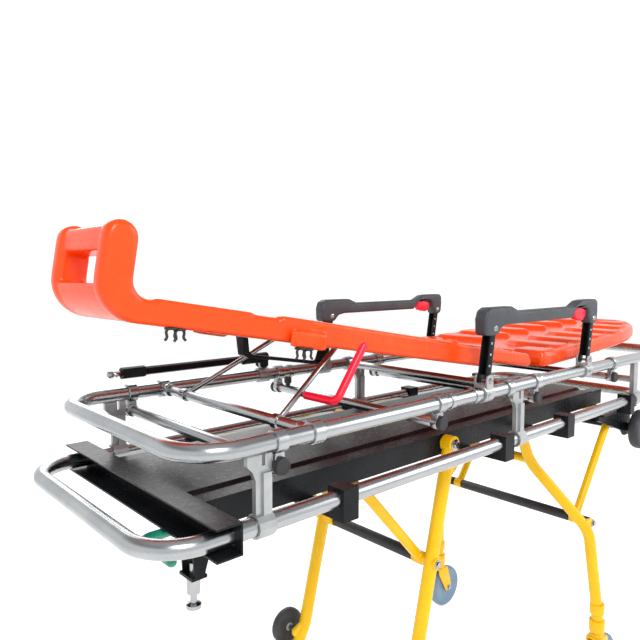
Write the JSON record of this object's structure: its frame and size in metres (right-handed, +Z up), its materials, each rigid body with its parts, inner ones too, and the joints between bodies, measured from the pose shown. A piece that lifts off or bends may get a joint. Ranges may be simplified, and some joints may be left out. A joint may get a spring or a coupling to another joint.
{
  "type": "stretcher trolley",
  "caption": "Self-loading ambulance stretcher trolley: orange two-part moulded deck on a lift-off tube frame, docked on a folding-leg wheeled undercarriage with side guards.",
  "frame": {"origin": "on the floor under the middle of the trolley's length and width", "axes": "+X towards the loading (head) end, -Y the near side with the green release handle, +Z up"},
  "size_m": [1.8584, 0.568, 1.1932],
  "materials": {
    "alu_tube": "satin anodised",
    "cast_alu": "bead blasted casting",
    "black_steel": "black powder coat",
    "bright_steel": "bright",
    "orange_plastic": "gloss moulded plastic",
    "yellow_paint": "gloss powder coat",
    "black_plastic": "fine textured moulding",
    "red_plastic": "semi gloss",
    "green_paint": "plastic dipped",
    "grey_tyre": "matt rubber",
    "dark_tyre": "matt rubber"
  },
  "bodies": {
    "undercarriage": {"lower_frame_loop": "alu_tube", "foot_channel": "black_steel", "chassis_rail_near": "black_steel", "chassis_rail_far": "black_steel", "tray_cover": "black_steel", "cross_member_foot": "black_steel", "cross_member_mid": "black_steel", "cross_member_head": "black_steel", "dock_upright_foot_near": "cast_alu", "dock_upright_foot_far": "cast_alu", "dock_upright_mid_near": "cast_alu", "dock_upright_mid_far": "cast_alu", "dock_bar_head": "cast_alu", "lock_pin_bracket": "black_steel", "lock_pin": "bright_steel", "loading_wheel_carrier": "black_steel"},
    "stretcher": {"stretcher_frame_loop": "alu_tube", "cross_bar_foot": "alu_tube", "cross_bar_mid": "alu_tube", "under_bar_a": "alu_tube", "under_bar_b": "alu_tube", "under_bar_c": "alu_tube", "under_bar_d": "alu_tube", "guard_bracket_foot_near": "cast_alu", "guard_bracket_head_near": "cast_alu", "guard_bracket_foot_far": "cast_alu", "guard_bracket_head_far": "cast_alu"},
    "release_handle": {"release_handle": "green_paint"},
    "plunger_knob": {"plunger_knob": "black_plastic"},
    "deck_leg": {"deck_leg_section": "orange_plastic", "rack_bar": "black_steel"},
    "deck_back": {"deck_back_section": "orange_plastic"},
    "leg_prop": {"leg_prop": "bright_steel", "prop_lever": "red_plastic"},
    "drip_pole_outer": {"drip_pole_outer": "black_steel"},
    "drip_pole_inner": {"drip_pole_inner": "bright_steel"},
    "foot_legs": {"foot_leg_frame": "yellow_paint"},
    "foot_brace": {"foot_brace": "yellow_paint"},
    "head_legs": {"head_leg_frame": "yellow_paint"},
    "head_brace": {"head_brace": "yellow_paint"},
    "guard_post_foot_near": {"guard_post_foot_near": "black_steel"},
    "guard_post_head_near": {"guard_post_head_near": "black_steel"},
    "guard_grip_near": {"guard_grip_near": "black_plastic"},
    "guard_trigger_near": {"guard_trigger_near": "red_plastic"},
    "guard_post_foot_far": {"guard_post_foot_far": "black_steel"},
    "guard_post_head_far": {"guard_post_head_far": "black_steel"},
    "guard_grip_far": {"guard_grip_far": "black_plastic"},
    "guard_trigger_far": {"guard_trigger_far": "red_plastic"},
    "caster_fork_foot_near": {"caster_fork_foot_near": "yellow_paint"},
    "caster_wheel_foot_near": {"caster_wheel_foot_near": "grey_tyre"},
    "caster_fork_foot_far": {"caster_fork_foot_far": "yellow_paint"},
    "caster_wheel_foot_far": {"caster_wheel_foot_far": "grey_tyre"},
    "caster_fork_head_near": {"caster_fork_head_near": "yellow_paint"},
    "caster_wheel_head_near": {"caster_wheel_head_near": "grey_tyre"},
    "caster_fork_head_far": {"caster_fork_head_far": "yellow_paint"},
    "caster_wheel_head_far": {"caster_wheel_head_far": "grey_tyre"},
    "elbow_wheel_near": {"elbow_wheel_near": "dark_tyre"},
    "loading_wheel_near": {"loading_wheel_near": "dark_tyre"},
    "elbow_wheel_far": {"elbow_wheel_far": "dark_tyre"},
    "loading_wheel_far": {"loading_wheel_far": "dark_tyre"}
  },
  "joints": [
    {"name": "stretcher_lift_off", "type": "slide", "parent": "undercarriage", "child": "stretcher", "axis": [0, 0, 1], "range_m": [0, 0.15]},
    {"name": "release_handle_swing", "type": "hinge", "parent": "undercarriage", "child": "release_handle", "pos_m": [-0.8173, -0.112, 0.722], "axis": [0, 1, 0], "range_deg": [-20, 0], "stiffness_Nm_per_rad": 1},
    {"name": "plunger_pull", "type": "slide", "parent": "stretcher", "child": "plunger_knob", "axis": [0, 0, 1], "range_m": [0, 0.008], "stiffness_N_per_m": 600},
    {"name": "leg_section_tilt", "type": "hinge", "parent": "stretcher", "child": "deck_leg", "pos_m": [0.1177, 0, 0.897], "axis": [0, 1, 0], "range_deg": [-9, 0]},
    {"name": "backrest_raise", "type": "hinge", "parent": "stretcher", "child": "deck_back", "pos_m": [0.1177, 0, 0.897], "axis": [0, 1, 0], "range_deg": [-72.5, 2.5]},
    {"name": "leg_prop_swing", "type": "hinge", "parent": "stretcher", "child": "leg_prop", "pos_m": [-0.6423, 0, 0.87], "axis": [0, 1, 0], "range_deg": [0, 27.5]},
    {"name": "drip_pole_raise", "type": "hinge", "parent": "stretcher", "child": "drip_pole_outer", "pos_m": [-0.3813, 0.2435, 0.897], "axis": [0, 1, 0], "range_deg": [0, 90]},
    {"name": "drip_pole_extend", "type": "slide", "parent": "drip_pole_outer", "child": "drip_pole_inner", "axis": [-1, 0, 0], "range_m": [0, 0.25]},
    {"name": "guard_fold_near", "type": "hinge", "parent": "stretcher", "child": "guard_post_foot_near", "pos_m": [-0.1803, -0.2435, 0.897], "axis": [0, 1, 0], "range_deg": [-85, 0]},
    {"name": "guard_head_post_near", "type": "hinge", "parent": "stretcher", "child": "guard_post_head_near", "pos_m": [0.2687, -0.2435, 0.897], "axis": [0, 1, 0], "range_deg": [-85, 0]},
    {"name": "guard_grip_pivot_near", "type": "hinge", "parent": "guard_post_foot_near", "child": "guard_grip_near", "pos_m": [-0.16209, -0.2435, 1.00244], "axis": [0, 1, 0], "range_deg": [0, 85]},
    {"name": "guard_trigger_pull_near", "type": "hinge", "parent": "guard_grip_near", "child": "guard_trigger_near", "pos_m": [0.20291, -0.2435, 1.02844], "axis": [0, 1, 0], "range_deg": [-8, 0], "stiffness_Nm_per_rad": 1},
    {"name": "guard_fold_far", "type": "hinge", "parent": "stretcher", "child": "guard_post_foot_far", "pos_m": [-0.1803, 0.2435, 0.897], "axis": [0, 1, 0], "range_deg": [-85, 0]},
    {"name": "guard_head_post_far", "type": "hinge", "parent": "stretcher", "child": "guard_post_head_far", "pos_m": [0.2687, 0.2435, 0.897], "axis": [0, 1, 0], "range_deg": [-85, 0]},
    {"name": "guard_grip_pivot_far", "type": "hinge", "parent": "guard_post_foot_far", "child": "guard_grip_far", "pos_m": [-0.16209, 0.2435, 1.00244], "axis": [0, 1, 0], "range_deg": [0, 85]},
    {"name": "guard_trigger_pull_far", "type": "hinge", "parent": "guard_grip_far", "child": "guard_trigger_far", "pos_m": [0.20291, 0.2435, 1.02844], "axis": [0, 1, 0], "range_deg": [-8, 0], "stiffness_Nm_per_rad": 1},
    {"name": "foot_legs_fold", "type": "hinge", "parent": "undercarriage", "child": "foot_legs", "pos_m": [-0.1883, 0, 0.75], "axis": [0, 1, 0], "range_deg": [0, 64]},
    {"name": "foot_brace_swing", "type": "hinge", "parent": "foot_legs", "child": "foot_brace", "pos_m": [-0.2477, 0, 0.507], "axis": [0, 1, 0], "range_deg": [-108.3, 0]},
    {"name": "caster_swivel_foot_near", "type": "hinge", "parent": "foot_legs", "child": "caster_fork_foot_near", "pos_m": [-0.3373, -0.168, 0.14], "axis": [0, 0, 1], "continuous": true},
    {"name": "caster_roll_foot_near", "type": "hinge", "parent": "caster_fork_foot_near", "child": "caster_wheel_foot_near", "pos_m": [-0.3073, -0.168, 0.065], "axis": [0, 1, 0], "continuous": true},
    {"name": "caster_swivel_foot_far", "type": "hinge", "parent": "foot_legs", "child": "caster_fork_foot_far", "pos_m": [-0.3373, 0.168, 0.14], "axis": [0, 0, 1], "continuous": true},
    {"name": "caster_roll_foot_far", "type": "hinge", "parent": "caster_fork_foot_far", "child": "caster_wheel_foot_far", "pos_m": [-0.3073, 0.168, 0.065], "axis": [0, 1, 0], "continuous": true},
    {"name": "head_legs_fold", "type": "hinge", "parent": "undercarriage", "child": "head_legs", "pos_m": [0.2147, 0, 0.701], "axis": [0, 1, 0], "range_deg": [0, 90]},
    {"name": "head_brace_swing", "type": "hinge", "parent": "head_legs", "child": "head_brace", "pos_m": [0.3617, 0, 0.443], "axis": [0, 1, 0], "range_deg": [-64.7, 0]},
    {"name": "caster_swivel_head_near", "type": "hinge", "parent": "head_legs", "child": "caster_fork_head_near", "pos_m": [0.3577, -0.262, 0.14], "axis": [0, 0, 1], "continuous": true},
    {"name": "caster_roll_head_near", "type": "hinge", "parent": "caster_fork_head_near", "child": "caster_wheel_head_near", "pos_m": [0.3877, -0.262, 0.065], "axis": [0, 1, 0], "continuous": true},
    {"name": "caster_swivel_head_far", "type": "hinge", "parent": "head_legs", "child": "caster_fork_head_far", "pos_m": [0.3577, 0.262, 0.14], "axis": [0, 0, 1], "continuous": true},
    {"name": "caster_roll_head_far", "type": "hinge", "parent": "caster_fork_head_far", "child": "caster_wheel_head_far", "pos_m": [0.3877, 0.262, 0.065], "axis": [0, 1, 0], "continuous": true},
    {"name": "elbow_wheel_roll_near", "type": "hinge", "parent": "foot_legs", "child": "elbow_wheel_near", "pos_m": [-0.3393, -0.203, 0.24], "axis": [0, 1, 0], "continuous": true},
    {"name": "loading_wheel_roll_near", "type": "hinge", "parent": "undercarriage", "child": "loading_wheel_near", "pos_m": [0.6377, -0.249, 0.655], "axis": [0, 1, 0], "continuous": true},
    {"name": "elbow_wheel_roll_far", "type": "hinge", "parent": "foot_legs", "child": "elbow_wheel_far", "pos_m": [-0.3393, 0.203, 0.24], "axis": [0, 1, 0], "continuous": true},
    {"name": "loading_wheel_roll_far", "type": "hinge", "parent": "undercarriage", "child": "loading_wheel_far", "pos_m": [0.6377, 0.249, 0.655], "axis": [0, 1, 0], "continuous": true}
  ],
  "couplings": [
    {"joint": "leg_prop_swing", "follows": "leg_section_tilt", "ratio": -3.01},
    {"joint": "guard_head_post_near", "follows": "guard_fold_near", "ratio": 1},
    {"joint": "guard_grip_pivot_near", "follows": "guard_fold_near", "ratio": -1},
    {"joint": "guard_head_post_far", "follows": "guard_fold_far", "ratio": 1},
    {"joint": "guard_grip_pivot_far", "follows": "guard_fold_far", "ratio": -1},
    {"joint": "foot_brace_swing", "follows": "foot_legs_fold", "ratio": -1.6875},
    {"joint": "head_brace_swing", "follows": "head_legs_fold", "ratio": -0.7156}
  ]
}
